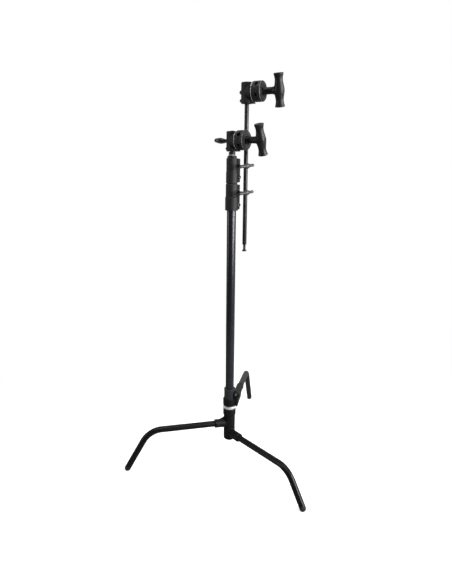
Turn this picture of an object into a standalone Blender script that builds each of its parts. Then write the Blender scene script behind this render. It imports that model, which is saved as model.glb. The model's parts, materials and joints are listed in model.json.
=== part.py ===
"""Studio grip stand with a sliding leg, two telescoping risers and a grip arm that carries two
grip heads. Metres, +Z up. Every separate piece of the stand is one object."""

import math

import bmesh
import bpy
from mathutils import Matrix, Vector

MM = 0.001

# ---- placing: the column axis, seen from the middle of the stand's bounding box ----
AXIS_X = -0.03856
AXIS_Y = -0.10056

# ---- directions about the column, degrees counter-clockwise from +X ----
LEFT_LEG_DIR = 222.8
RIGHT_LEG_DIR = -26.1
SLIDING_LEG_DIR = 107.2
LUG_DIR = 66.0
LOWER_HEAD_DIR = -7.5
UPPER_HEAD_DIR = 0.0

# ---- legs, mm ----
LEG_R = 12.5
LEG_BORE = 10.3
LEG_BEND = 85.0
LEFT_LEG = {"start": (43.0, 155.5), "corner": (340.7, 167.8), "foot": (441.4, 0.0)}
RIGHT_LEG = {"start": (45.0, 110.2), "corner": (355.1, 129.2), "foot": (449.8, 0.0)}
SLIDING_LEG = {"start": (60.0, 277.4), "corner": (353.6, 229.0), "foot": (519.1, 0.0)}
SLIDING_OFFSET = -29.0
FOOT_HEIGHT = 11.5
SOCKET_R = 18.2

# ---- hub, mm ----
HUB_BORE = 15.5
HUB_CORE_R = 20.0
HUB_TOP = 223.5
RING_Z = (224.6, 236.4)
COLLAR_Z = (241.5, 268.0)
SLEEVE_TOP = 314.5

# ---- column and risers, mm ----
COLUMN_R, COLUMN_BORE = 17.5, 15.5
RISER1_R, RISER1_BORE = 15.0, 13.0
RISER2_R, RISER2_BORE = 12.5, 10.5
LOWER_CLAMP_Z = (1052.0, 1100.0, 1148.0)
UPPER_CLAMP_Z = (1152.0, 1190.0, 1242.0)
CLAMP_SCREW_OUT = 23.0
NECK_R = 20.6
SHOULDER_TOP = 1264.0
PIN_R = 7.94
PIN_TOP = 1338.0

# ---- grip heads and arm, mm ----
LOWER_HEAD_Z = 1304.0
UPPER_HEAD_Z = 1467.5
JAW_R = 34.8
JAW_FACE = 45.5
ARM_OFFSET = 23.5
ARM_R = 7.94
ARM_BORE = 5.9
ARM_Z = (923.0, 1499.0)
BAR_OUT = 121.0
LOWER_BAR_TILT = 19.0
UPPER_BAR_TILT = 14.0
UPPER_JAW_ROLL = -8.0
LOWER_JAW_ROLL = 0.0


# ---------------------------------------------------------------- start clean
for old in list(bpy.data.objects):
    bpy.data.objects.remove(old, do_unlink=True)


def finish(name, colour, rough, metal):
    """One Principled material."""
    made = bpy.data.materials.new(name)
    made.use_nodes = True
    shader = made.node_tree.nodes["Principled BSDF"]
    shader.inputs["Base Color"].default_value = (*colour, 1.0)
    shader.inputs["Roughness"].default_value = rough
    shader.inputs["Metallic"].default_value = metal
    made.diffuse_color = (*colour, 1.0)
    return made


BLACK_TUBE = ((0.035, 0.037, 0.045), 0.32, 0.6)
BLACK_LEG = ((0.02, 0.02, 0.022), 0.36, 0.5)
BLACK_CAST = ((0.018, 0.018, 0.019), 0.7, 0.3)
DARK_STEEL = ((0.05, 0.05, 0.055), 0.38, 0.8)
SILVER = ((0.72, 0.72, 0.73), 0.25, 1.0)
BLACK_PLASTIC = ((0.012, 0.012, 0.013), 0.45, 0.0)
BLACK_RUBBER = ((0.015, 0.015, 0.015), 0.85, 0.0)
NYLON = ((0.75, 0.74, 0.70), 0.5, 0.0)


def empty(name, parent=None, at=(0, 0, 0), matrix=None):
    made = bpy.data.objects.new(name, None)
    bpy.context.scene.collection.objects.link(made)
    made.parent = parent
    if matrix is None:
        made.location = Vector(at) * MM
    else:
        made.matrix_local = matrix
    return made


def add_object(name, shape, look, parent, at=(0, 0, 0), matrix=None, hidden=False):
    """Makes an object from a bmesh given in millimetres."""
    bmesh.ops.recalc_face_normals(shape, faces=shape.faces)
    bmesh.ops.scale(shape, vec=(MM, MM, MM), verts=shape.verts)
    mesh = bpy.data.meshes.new(name)
    shape.to_mesh(mesh)
    shape.free()
    mesh.shade_smooth()
    mesh.set_sharp_from_angle(angle=math.radians(35))
    made = bpy.data.objects.new(name, mesh)
    bpy.context.scene.collection.objects.link(made)
    made.parent = parent
    if matrix is None:
        made.location = Vector(at) * MM
    else:
        made.matrix_local = matrix
    if hidden:
        made.hide_render = True
        made.display_type = "WIRE"
    else:
        mesh.materials.append(finish(name, *look))
    return made


def lathe(profile, around=16, turn=None, shape=None):
    """Turns a profile of (radius, height) about Z. Radius 0 at both ends makes a solid,
    otherwise the profile is a closed loop."""
    shape = shape or bmesh.new()
    place = turn or Matrix.Identity(4)
    rings = []
    for radius, height in profile:
        if radius == 0:
            rings.append([shape.verts.new(place @ Vector((0, 0, height)))])
        else:
            rings.append([])
            for i in range(around):
                a = 2 * math.pi * (i + 0.5) / around
                spot = Vector((radius * math.cos(a), radius * math.sin(a), height))
                rings[-1].append(shape.verts.new(place @ spot))
    solid = profile[0][0] == 0
    count = len(rings)
    for k in range(count - 1 if solid else count):
        low, high = rings[k], rings[(k + 1) % count]
        for i in range(around):
            j = (i + 1) % around
            if len(low) == 1:
                shape.faces.new((low[0], high[j], high[i]))
            elif len(high) == 1:
                shape.faces.new((low[i], low[j], high[0]))
            else:
                shape.faces.new((low[i], low[j], high[j], high[i]))
    return shape


def rod(radius, low, high, around=16, turn=None, chamfer=0.0):
    c = chamfer
    if c:
        profile = [(0, low), (radius - c, low), (radius, low + c)]
        profile += [(radius, high - c), (radius - c, high), (0, high)]
    else:
        profile = [(0, low), (radius, low), (radius, high), (0, high)]
    return lathe(profile, around, turn)


def tube(outer, inner, low, high, around=20):
    return lathe([(inner, low), (outer, low), (outer, high), (inner, high)], around)


def box(low, high, turn=None):
    shape = bmesh.new()
    centre = (Vector(low) + Vector(high)) / 2
    size = Vector(high) - Vector(low)
    place = (turn or Matrix.Identity(4)) @ Matrix.Translation(centre)
    bmesh.ops.create_cube(shape, size=1.0, matrix=place @ Matrix.Diagonal((*size, 1)))
    return shape


def plate(outline, half, offset=0.0):
    """Extrudes an (x, z) outline along Y, from offset - half to offset + half."""
    shape = bmesh.new()
    near = [shape.verts.new((x, offset - half, z)) for x, z in outline]
    far = [shape.verts.new((x, offset + half, z)) for x, z in outline]
    shape.faces.new(near)
    shape.faces.new(far[::-1])
    for i in range(len(outline)):
        j = (i + 1) % len(outline)
        shape.faces.new((near[i], far[i], far[j], near[j]))
    return shape


def along(direction, at=(0, 0, 0)):
    """A matrix that puts +Z along a direction, at a point, in millimetres."""
    turned = Vector(direction).normalized().to_track_quat("Z", "Y").to_matrix().to_4x4()
    return Matrix.Translation(Vector(at)) @ turned


def cylinder_between(a, b, radius, around=12):
    a, b = Vector(a), Vector(b)
    return rod(radius, 0.0, (b - a).length, around, along(b - a, a))


def combine(target, shape, operation, tag):
    """Joins a helper shape to a piece, or cuts it away, in the piece's own frame."""
    name = f"{target.name}_{tag}"
    helper = add_object(name, shape, None, target, hidden=True)
    step = target.modifiers.new(tag, "BOOLEAN")
    step.operation = operation
    step.solver = "EXACT"
    step.object = helper
    return helper


def cut(target, shape, tag):
    return combine(target, shape, "DIFFERENCE", tag)


def join(target, shape, tag):
    return combine(target, shape, "UNION", tag)


def heading(degrees):
    return Matrix.Rotation(math.radians(degrees), 4, "Z")


def unit(degrees):
    a = math.radians(degrees)
    return Vector((math.cos(a), math.sin(a), 0.0))


root = empty("stand_axis", at=(AXIS_X / MM, AXIS_Y / MM, 0))


# ---------------------------------------------------------------- legs
def leg_path(leg, bend=LEG_BEND, steps=5):
    """Centre line of a leg in its own upright plane: socket, bend, then down to the foot."""
    start = Vector(leg["start"])
    corner = Vector(leg["corner"])
    foot = Vector(leg["foot"])
    into = (corner - start).normalized()
    out = (foot - corner).normalized()
    end = foot - out * (FOOT_HEIGHT / -out.y)
    turn = math.acos(max(-1.0, min(1.0, into.dot(out))))
    reach = bend * math.tan(turn / 2)
    normal = Vector((into.y, -into.x))
    centre = corner - into * reach + normal * bend
    points = [(start, into)]
    for k in range(steps + 1):
        a = turn * k / steps
        way = Vector(
            (
                into.x * math.cos(a) + into.y * math.sin(a),
                into.y * math.cos(a) - into.x * math.sin(a),
            )
        )
        side = Vector((way.y, -way.x))
        points.append((centre - side * bend, way))
    points.append((end - out * 7.0, out))
    return points, end, out


def bent_tube(points, outer, inner, offset=0.0, around=12):
    shape = bmesh.new()
    layers = []
    for radius in (outer, inner):
        rings = []
        for spot, way in points:
            normal = Vector((-way.y, way.x))
            ring = []
            for i in range(around):
                a = 2 * math.pi * (i + 0.5) / around
                flat = spot + normal * (radius * math.cos(a))
                ring.append(
                    shape.verts.new((flat.x, offset + radius * math.sin(a), flat.y))
                )
            rings.append(ring)
        layers.append(rings)
    for rings in layers:
        for low, high in zip(rings, rings[1:]):
            for i in range(around):
                j = (i + 1) % around
                shape.faces.new((low[i], low[j], high[j], high[i]))
    for end in (0, -1):
        skin, bore = layers[0][end], layers[1][end]
        for i in range(around):
            j = (i + 1) % around
            shape.faces.new((skin[i], skin[j], bore[j], bore[i]))
    return shape


def foot_cap(way, around=12):
    """A plug for the tube's end with a round nose, worn flat where it meets the floor."""
    profile = [(0, -26.0), (9.4, -26.0), (9.9, -24.5), (9.9, -6.6), (12.5, -6.6), (12.5, 0)]
    for a in (22.5, 45, 67.5):
        b = math.radians(a)
        profile.append((12.5 * math.cos(b), 12.5 * math.sin(b)))
    profile.append((0, 12.5))
    shape = lathe(profile, around, along((way.x, 0, way.y)))
    every = shape.verts[:] + shape.edges[:] + shape.faces[:]
    done = bmesh.ops.bisect_plane(
        shape,
        geom=every,
        plane_co=(0, 0, -FOOT_HEIGHT),
        plane_no=(0, 0, -1),
        clear_outer=True,
    )
    rim = [e for e in done["geom_cut"] if isinstance(e, bmesh.types.BMEdge)]
    bmesh.ops.contextual_create(shape, geom=rim)
    return shape


def build_leg(side, leg, frame, offset=0.0):
    points, end, way = leg_path(leg)
    pipe = bent_tube(points, LEG_R, LEG_BORE, offset)
    add_object(f"{side}_leg_tube", pipe, BLACK_LEG, frame)
    cap = foot_cap(way)
    add_object(f"{side}_foot_cap", cap, BLACK_RUBBER, frame, (end.x, offset, end.y))


def leg_bracket(side, leg, frame, ring, reach, bore_from, rise):
    """A cast ring on the hub core with a gusseted socket for the leg tube."""
    low, high = ring
    outer = 24.2
    profile = [(HUB_CORE_R - 3, low), (outer - 1.5, low), (outer, low + 1.5)]
    profile += [(outer, high - 1.5), (outer - 1.5, high), (HUB_CORE_R - 3, high)]
    piece = add_object(f"{side}_leg_bracket", lathe(profile, 20), BLACK_CAST, frame)
    start, corner = Vector(leg["start"]), Vector(leg["corner"])
    way = (corner - start).normalized()
    a = start + way * (16.0 - start.x)
    b = start + way * (reach - start.x)
    turn = along((way.x, 0, way.y), (a.x, 0, a.y))
    join(piece, rod(SOCKET_R, 0.0, (b - a).length, 16, turn, 1.6), "socket")
    top = start.y + rise
    gusset = [(18, start.y), (18, top), (25, top - 0.6), (reach - 14, start.y + 16), (reach - 14, start.y)]
    join(piece, plate(gusset, 5.0), "gusset")
    core = rod(HUB_CORE_R + 0.4, low - 6, high + 6, 20)
    cut(piece, core, "core")
    c = start + way * (bore_from - start.x)
    d = start + way * (reach + 20 - start.x)
    cut(piece, cylinder_between((c.x, 0, c.y), (d.x, 0, d.y), LEG_R + 0.3), "bore")
    cut(piece, rod(2.6, 8.0, 30.0, 10, side_spot(leg, reach)), "screw_hole")


def side_spot(leg, reach):
    """Where a bracket's screw enters from the side: +Z along the screw, outwards."""
    start, corner = Vector(leg["start"]), Vector(leg["corner"])
    way = (corner - start).normalized()
    spot = start + way * (reach - 9.0 - start.x)
    return along((0, 1, 0), (spot.x, 0, spot.y))


left_frame = empty("left_leg_frame", root, matrix=heading(LEFT_LEG_DIR))
build_leg("left", LEFT_LEG, left_frame)
leg_bracket("left", LEFT_LEG, left_frame, (139.5, 186.5), 64.0, 41.0, 27.0)
right_frame = empty("right_leg_frame", root, matrix=heading(RIGHT_LEG_DIR))
build_leg("right", RIGHT_LEG, right_frame)
leg_bracket("right", RIGHT_LEG, right_frame, (86.0, 135.8), 68.0, 43.0, 21.5)


def leg_screw(side, leg, frame, reach):
    """The socket-head screw that holds a leg tube in its bracket."""
    profile = [(0, 13.2), (2.2, 13.2), (2.2, 18.6), (4.3, 18.6), (4.3, 20.8), (3.6, 21.4), (0, 21.4)]
    shape = lathe(profile, 10, side_spot(leg, reach))
    add_object(f"{side}_leg_screw", shape, DARK_STEEL, frame)


leg_screw("left", LEFT_LEG, left_frame, 64.0)
leg_screw("right", RIGHT_LEG, right_frame, 68.0)

# ---------------------------------------------------------------- hub
add_object("hub_core", tube(HUB_CORE_R, HUB_BORE, 86.0, HUB_TOP, 20), DARK_STEEL, root)
cap_profile = [(0, 78.2), (15.0, 78.2), (20.5, 79.4), (23.4, 82.6), (23.8, 85.6)]
cap_profile += [(15.0, 85.6), (15.0, 96.0), (0, 96.0)]
add_object("hub_bottom_cap", lathe(cap_profile, 20), BLACK_CAST, root)
sleeve = [(HUB_CORE_R + 0.4, 187.0), (22.8, 187.0), (23.6, 189.5), (26.3, 195.0)]
sleeve += [(26.6, 199.0), (26.6, 222.0), (25.4, HUB_TOP), (HUB_CORE_R + 0.4, HUB_TOP)]
add_object("hub_top_casting", lathe(sleeve, 20), BLACK_CAST, root)

# ---------------------------------------------------------------- quick-release ring
ring = [(18.2, RING_Z[0]), (26.0, RING_Z[0]), (26.9, RING_Z[0] + 1.6)]
ring += [(26.9, RING_Z[1] - 1.6), (26.0, RING_Z[1]), (18.2, RING_Z[1])]
ring_frame = empty("release_ring_frame", root, matrix=heading(32.0))
add_object("release_ring", lathe(ring, 20), SILVER, ring_frame)
knob = rod(4.2, 27.3, 33.0, 14, along((1, 0, 0), (0, 0, sum(RING_Z) / 2)), 0.9)
add_object("release_knob", knob, BLACK_PLASTIC, ring_frame)

# ---------------------------------------------------------------- column
add_object("column_tube", tube(COLUMN_R, COLUMN_BORE, 224.0, 1090.0, 20), BLACK_TUBE, root)
spigot = [(12.0, 105.0), (15.1, 105.0), (15.1, 262.0), (12.0, 262.0)]
add_object("column_spigot", lathe(spigot, 20), DARK_STEEL, root)

# ---------------------------------------------------------------- sliding leg
slide_frame = empty("sliding_leg_frame", root, matrix=heading(SLIDING_LEG_DIR))
build_leg("sliding", SLIDING_LEG, slide_frame, SLIDING_OFFSET)
sleeve = [(19.2, 242.5), (22.9, 242.5), (22.9, 312.4), (23.4, 312.8), (23.4, 313.8)]
sleeve += [(22.6, SLEEVE_TOP), (19.2, SLEEVE_TOP)]
add_object("sliding_leg_sleeve", lathe(sleeve, 20), BLACK_TUBE, root)
add_object("sliding_leg_bush", tube(18.9, 17.8, 243.5, 313.5, 20), NYLON, root)
collar = [(20.0, COLLAR_Z[0]), (26.2, COLLAR_Z[0]), (27.2, COLLAR_Z[0] + 1.4)]
collar += [(27.2, COLLAR_Z[1] - 1.4), (26.2, COLLAR_Z[1]), (20.0, COLLAR_Z[1])]
casting = add_object("sliding_leg_casting", lathe(collar, 20), BLACK_CAST, slide_frame)
outline = [(-16, 242.5), (26, 240.5), (84, 237.0), (114, 250.0), (114, 272.0)]
outline += [(20, 298.0), (-12, 303.0), (-16, 299.0)]
join(casting, plate(outline, 8.5, SLIDING_OFFSET), "web")
way = (Vector(SLIDING_LEG["corner"]) - Vector(SLIDING_LEG["start"])).normalized()
begin = Vector(SLIDING_LEG["start"])
a = begin + way * (-12.0 - begin.x)
b = begin + way * (118.0 - begin.x)
barrel = rod(
    15.6,
    0.0,
    (b - a).length,
    20,
    along((way.x, 0, way.y), (a.x, SLIDING_OFFSET, a.y)),
    1.6,
)
join(casting, barrel, "socket")
cut(casting, rod(23.75, 230.0, 330.0, 20), "sleeve_bore")
c = begin + way * (58.0 - begin.x)
d = begin + way * (140.0 - begin.x)
cut(
    casting,
    cylinder_between(
        (c.x, SLIDING_OFFSET, c.y), (d.x, SLIDING_OFFSET, d.y), LEG_R + 0.3
    ),
    "leg_bore",
)
cut(casting, rod(2.7, -30.0, 12.0, 10, along((-1, 0, 0), (-8, SLIDING_OFFSET, 294))), "hole")
shape = lathe(
    [(0, -16.0), (2.3, -16.0), (2.3, 8.4), (4.2, 8.4), (4.2, 11.2), (3.4, 11.8), (0, 11.8)],
    10,
    along((-1, 0, 0)),
)
add_object("sliding_leg_screw", shape, SILVER, slide_frame, (-8, SLIDING_OFFSET, 294))


# ---------------------------------------------------------------- wing handle
WAISTED = ((0, 35.0), (4.4, 34.2), (5.7, 30.0), (4.7, 24.0), (6.0, 15.0), (10.4, 3.4))
OVAL = ((0, 36.0), (4.6, 35.0), (7.0, 31.4), (8.6, 20.0), (9.8, 11.0), (10.4, 3.0))


def build_wing(name, frame, out, neck, hub_hole, half=WAISTED):
    """A wing handle along X, its hub at height out, with a neck reaching back to height neck."""
    spindle = [(r, -x) for r, x in half] + [(r, x) for r, x in half[::-1]]
    shape = lathe(spindle, 10, along((1, 0, 0)))
    piece = add_object(name, shape, DARK_STEEL, frame, (0, 0, out))
    back = neck - out
    join(piece, lathe([(0, back), (6.6, back), (7.6, -6.0), (7.6, 8.4), (0, 8.4)], 12), "neck")
    cut(piece, rod(hub_hole, back - 5.0, 3.0, 12), "screw_hole")
    return piece


# ---------------------------------------------------------------- riser clamps
def build_clamp(which, levels, tube_r, riser_r, outers, screw_z, fixing_z, neck):
    """A split casting fixed on the top of one tube, which grips the next one in."""
    low, middle, high = levels
    lower, upper = outers
    frame = empty(f"{which}_clamp_frame", root, matrix=heading(LUG_DIR))
    profile = [(riser_r - 3, low), (lower - 1.2, low), (lower, low + 1.2)]
    profile += [(lower, middle), (upper, middle + 3.0), (upper, high - 1.5)]
    profile += [(upper - 1.5, high)]
    top = high + neck
    if neck:
        profile += [(NECK_R, high), (NECK_R, top)]
    profile += [(riser_r - 3, top)]
    piece = add_object(f"{which}_clamp_casting", lathe(profile, 20), BLACK_CAST, frame)
    side = [(10, low + 3), (28.5, low + 3), (30.5, low + 5)]
    side += [(30.5, high - 3), (28.5, high - 1), (10, high - 1)]
    join(piece, plate(side, 12.0), "lug")
    toward = (0, -1, 0)
    boss = rod(8.6, -12.3, 12.9, 14, along(toward, (24.0, 0, fixing_z)), 0.8)
    join(piece, boss, "boss")
    cut(piece, rod(tube_r + 0.35, low - 8, middle - 2, 20), "tube_bore")
    cut(piece, rod(riser_r + 0.35, low - 8, high + 12, 20), "riser_bore")
    cut(piece, box((riser_r - 4, -1.3, low - 8), (45, 1.3, high + 12)), "slot")
    shape = lathe(
        [(0, -40.0), (8.4, -40.0), (8.4, -11.6), (4.35, -11.6), (4.35, 40.0), (0, 40.0)],
        16,
        along(toward, (CLAMP_SCREW_OUT, 0, screw_z)),
    )
    cut(piece, shape, "clamp_hole")
    shape = lathe(
        [(0, -40.0), (3.35, -40.0), (3.35, 11.6), (7.4, 11.6), (7.4, 40.0), (0, 40.0)],
        16,
        along(toward, (24.0, 0, fixing_z)),
    )
    cut(piece, shape, "fixing_hole")
    # the screw's own frame has +Z along the screw, out to the wing handle
    screw_frame = empty(
        f"{which}_screw_frame",
        frame,
        matrix=Matrix.Translation(Vector((CLAMP_SCREW_OUT, 0, screw_z)) * MM)
        @ along(toward)
        @ heading(6.0),
    )
    build_wing(f"{which}_wing_handle", screw_frame, 56.0, 46.0, 4.35)
    bolt = rod(4.0, -21.0, 57.5, 12)
    add_object(f"{which}_clamp_screw", bolt, DARK_STEEL, screw_frame)
    nut = lathe([(5.0, -19.0), (7.6, -19.0), (7.6, -12.4), (5.0, -12.4)], 6)
    spot = Matrix.Translation(Vector((CLAMP_SCREW_OUT, 0, screw_z)) * MM) @ along(toward)
    add_object(f"{which}_clamp_nut", nut, DARK_STEEL, frame, matrix=spot)
    profile = [(0, -15.0), (3.0, -15.0), (3.0, 12.4), (5.8, 12.4), (5.8, 17.4), (5.0, 18.2)]
    profile += [(2.6, 18.2), (2.6, 15.4), (0, 15.4)]
    shape = lathe(profile, 14)
    spot = Matrix.Translation(Vector((24.0, 0, fixing_z)) * MM) @ along(toward)
    add_object(f"{which}_fixing_screw", shape, DARK_STEEL, frame, matrix=spot)
    return piece


build_clamp("lower", LOWER_CLAMP_Z, COLUMN_R, RISER1_R, (24.4, 22.4), 1119.0, 1072.0, 3.4)
build_clamp("upper", UPPER_CLAMP_Z, RISER1_R, RISER2_R, (21.8, 20.8), 1214.5, 1174.0, 0.0)

# ---------------------------------------------------------------- risers
add_object("riser_1_tube", tube(RISER1_R, RISER1_BORE, 270.4, 1187.0, 20), DARK_STEEL, root)
guide = [(0, 265.5), (15.15, 265.5), (15.15, 270.1), (12.6, 270.1), (12.6, 280.0), (0, 280.0)]
add_object("riser_1_guide", lathe(guide, 20), NYLON, root)
add_object("riser_2_tube", tube(RISER2_R, RISER2_BORE, 290.4, 1250.6, 20), DARK_STEEL, root)
guide = [(0, 285.0), (12.7, 285.0), (12.7, 290.1), (10.1, 290.1), (10.1, 300.0), (0, 300.0)]
add_object("riser_2_guide", lathe(guide, 20), NYLON, root)
collar = [(12.85, 1242.5), (17.6, 1242.5), (18.4, 1243.6), (18.0, 1246.6), (16.8, 1247.2)]
collar += [(16.8, 1249.8), (16.0, 1250.6), (12.85, 1250.6)]
add_object("riser_top_collar", lathe(collar, 20), BLACK_CAST, root)
pin = [(0, 1228.0), (10.1, 1228.0), (10.1, 1251.6), (13.6, 1251.6), (13.6, 1254.6)]
pin += [(12.2, 1255.2), (12.2, SHOULDER_TOP), (PIN_R, SHOULDER_TOP), (PIN_R, 1296.0)]
pin += [(6.6, 1298.0), (6.6, 1310.0), (PIN_R, 1312.0)]
pin += [(PIN_R, PIN_TOP - 1.5), (6.4, PIN_TOP), (0, PIN_TOP)]
add_object("baby_pin", lathe(pin, 14), DARK_STEEL, root)


# ---------------------------------------------------------------- grip heads
def head_frame(name, centre, direction):
    """A frame whose Z is the head's axis, outwards, and whose X is up."""
    out = unit(direction)
    up = Vector((0, 0, 1))
    side = out.cross(up)
    turned = Matrix((up, side, out)).transposed().to_4x4()
    matrix = Matrix.Translation(Vector(centre) * MM) @ turned
    return empty(name, root, matrix=matrix)


def jaw_grooves(piece, roll):
    """Half-round grooves for 16 mm, 13 mm and 10 mm rods across the clamping face."""
    turn = Matrix.Rotation(math.radians(roll), 4, "Z")
    rods = ((-90.0, ARM_OFFSET, 8.45), (0.0, 18.5, 6.7), (180.0, 18.5, 5.1))
    for k, (normal, out, radius) in enumerate(rods):
        across = unit(normal)
        middle = across * out + Vector((0, 0, JAW_FACE))
        way = Vector((-across.y, across.x, 0.0))
        shape = rod(radius, -45, 45, 12, turn @ along(way, middle))
        cut(piece, shape, f"groove_{k}")


def coil(radius, wire, low, high, turns=3, around=8, sides=4):
    shape = bmesh.new()
    rings = []
    total = turns * around
    for k in range(total + 1):
        a = 2 * math.pi * k / around
        z = low + (high - low) * k / total
        out = Vector((math.cos(a), math.sin(a), 0))
        ring = []
        for i in range(sides):
            b = 2 * math.pi * i / sides
            spot = out * (radius + wire * math.cos(b)) + Vector((0, 0, z + wire * math.sin(b)))
            ring.append(shape.verts.new(spot))
        rings.append(ring)
    for first, second in zip(rings, rings[1:]):
        for i in range(sides):
            j = (i + 1) % sides
            shape.faces.new((first[i], first[j], second[j], second[i]))
    shape.faces.new(rings[0])
    shape.faces.new(rings[-1][::-1])
    return shape


def build_head(which, frame, roll, tilt, locked):
    # body: an upright receiver for the pin with a round boss towards the jaws
    upright = Matrix.Rotation(math.radians(90), 4, "Y")
    block = [(0, -38.6), (19.8, -38.6), (21.3, -37.0), (21.3, 30.5), (19.8, 32.0), (0, 32.0)]
    body = add_object(f"{which}_head_body", lathe(block, 20, upright), BLACK_CAST, frame)
    boss = [(0, -4.0), (22.0, -4.0), (26.5, 14.0), (31.0, 20.0), (33.0, 22.0), (33.0, 26.6)]
    join(body, lathe(boss + [(0, 26.6)], 20), "boss")
    foot = [(-38.6, 0), (-38.6, 29.0), (-37.2, 29.6), (-35.7, 28.0), (-34.2, 26.0), (-22.0, 25.0)]
    join(body, plate(foot + [(-22.0, 0)], 13.0), "foot")
    low = Matrix.Translation((-28.0, 0, 0))
    back = [(0, -24.0), (7.4, -24.0), (8.4, -23.0), (8.4, -8.0), (0, -8.0)]
    join(body, lathe(back, 14), "back_boss")
    back = [(0, -23.6), (6.6, -23.6), (7.4, -22.8), (7.4, -8.0), (0, -8.0)]
    join(body, lathe(back, 14, low), "low_boss")
    cut(body, rod(8.5, -60, 60, 16, upright), "pin_bore")
    cut(body, rod(6.5, 9.0, 40.0, 14), "bolt_hole")
    cut(body, rod(4.4, -40.0, -5.0, 14), "lock_hole")
    cut(body, rod(3.4, -40.0, -5.0, 12, low), "set_hole")
    stub = [(0, -26.6), (3.4, -26.6), (4.2, -25.8), (4.2, -23.9), (3.1, -23.9), (3.1, -9.4)]
    stub += [(0, -9.4)]
    add_object(f"{which}_set_screw", lathe(stub, 12), DARK_STEEL, frame, (-28.0, 0, 0))
    if locked:
        lock = rod(4.0, -53.4, -9.0, 12)
        add_object(f"{which}_lock_screw", lock, DARK_STEEL, frame)
        flip = Matrix.Rotation(math.radians(180), 4, "X") @ heading(90.0)
        lock_frame = empty(f"{which}_lock_frame", frame, matrix=flip)
        build_wing(f"{which}_lock_handle", lock_frame, 51.0, 34.0, 4.35, OVAL)
    else:
        stub = [(0, -27.8), (4.4, -27.8), (5.6, -26.6), (5.6, -24.3), (4.0, -24.3), (4.0, -9.4)]
        stub += [(0, -9.4)]
        add_object(f"{which}_end_screw", lathe(stub, 14), DARK_STEEL, frame)
    bolt = lathe([(0, 9.4), (6.15, 9.4), (6.15, 117.0), (5.2, 118.0), (0, 118.0)], 12)
    add_object(f"{which}_head_bolt", bolt, DARK_STEEL, frame)
    # friction washer, jaws and spring
    washer = [(7.0, 26.95), (34.6, 26.95), (34.6, 28.9), (7.0, 28.9)]
    add_object(f"{which}_friction_washer", lathe(washer, 22), SILVER, frame)
    inner = [(6.8, 29.2), (JAW_R, 29.2), (JAW_R, 45.0), (9.8, 45.0), (9.8, 38.0), (6.8, 38.0)]
    jaw = add_object(f"{which}_inner_jaw", lathe(inner, 22), BLACK_CAST, frame)
    jaw_grooves(jaw, roll)
    add_object(f"{which}_jaw_spring", coil(8.2, 0.75, 39.1, 44.9), DARK_STEEL, frame)
    outer = [(6.8, 46.0), (JAW_R, 46.0), (JAW_R, 60.5), (31.4, 64.0), (12.4, 64.0)]
    outer += [(12.4, 63.0), (6.8, 63.0)]
    jaw = add_object(f"{which}_outer_jaw", lathe(outer, 22), BLACK_CAST, frame)
    jaw_grooves(jaw, roll)
    add_object(f"{which}_thrust_washer", tube(11.4, 6.6, 63.4, 65.0, 16), DARK_STEEL, frame)
    # handle: a waisted bar across the axis on a round neck
    neck = [(5.5, 65.4), (14.2, 65.4), (12.2, 71.0), (12.2, 98.0), (15.0, 106.0), (15.0, 115.0)]
    neck = lathe(neck + [(5.5, 115.0)], 14)
    handle = add_object(f"{which}_t_handle", neck, BLACK_PLASTIC, frame)
    half = [(0, 55.0), (16.2, 55.0), (17.5, 52.6), (14.0, 38.0), (14.2, 27.0), (18.6, 6.0)]
    bar = [(r, -z) for r, z in half] + [(r, z) for r, z in half[::-1]]
    across = unit(tilt)
    join(handle, lathe(bar, 12, along(across, (0, 0, BAR_OUT))), "bar")
    cut(handle, rod(6.5, 60.0, 119.0, 12), "bolt_bore")
    return body


lower_frame = head_frame("lower_head_frame", (0, 0, LOWER_HEAD_Z), LOWER_HEAD_DIR)
build_head("lower", lower_frame, LOWER_JAW_ROLL, LOWER_BAR_TILT, True)

arm_at = unit(LOWER_HEAD_DIR) * JAW_FACE + unit(LOWER_HEAD_DIR + 90) * ARM_OFFSET
arm_frame = empty("arm_frame", root, at=arm_at)
add_object("arm_tube", tube(ARM_R, ARM_BORE, *ARM_Z, 16), DARK_STEEL, arm_frame)
stop = [(0, 897.0), (7.6, 897.0), (8.3, 897.8), (8.3, 901.6), (7.6, 902.4), (4.8, 902.4), (4.8, 922.6)]
stop += [(5.6, 922.6), (5.6, 944.0), (0, 944.0)]
add_object("arm_end_stop", lathe(stop, 14), DARK_STEEL, arm_frame)

spot = Vector((arm_at.x, arm_at.y, UPPER_HEAD_Z))
upper_frame = head_frame("upper_head_frame", spot, UPPER_HEAD_DIR)
build_head("upper", upper_frame, UPPER_JAW_ROLL, UPPER_BAR_TILT, False)
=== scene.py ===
"""Looks for the studio grip stand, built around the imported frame. Lengths in the helpers are in
millimetres; every piece is placed from the record's joints or from a CAD node's box."""

import json
import math

import bmesh
import bpy
from mathutils import Matrix, Vector


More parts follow.
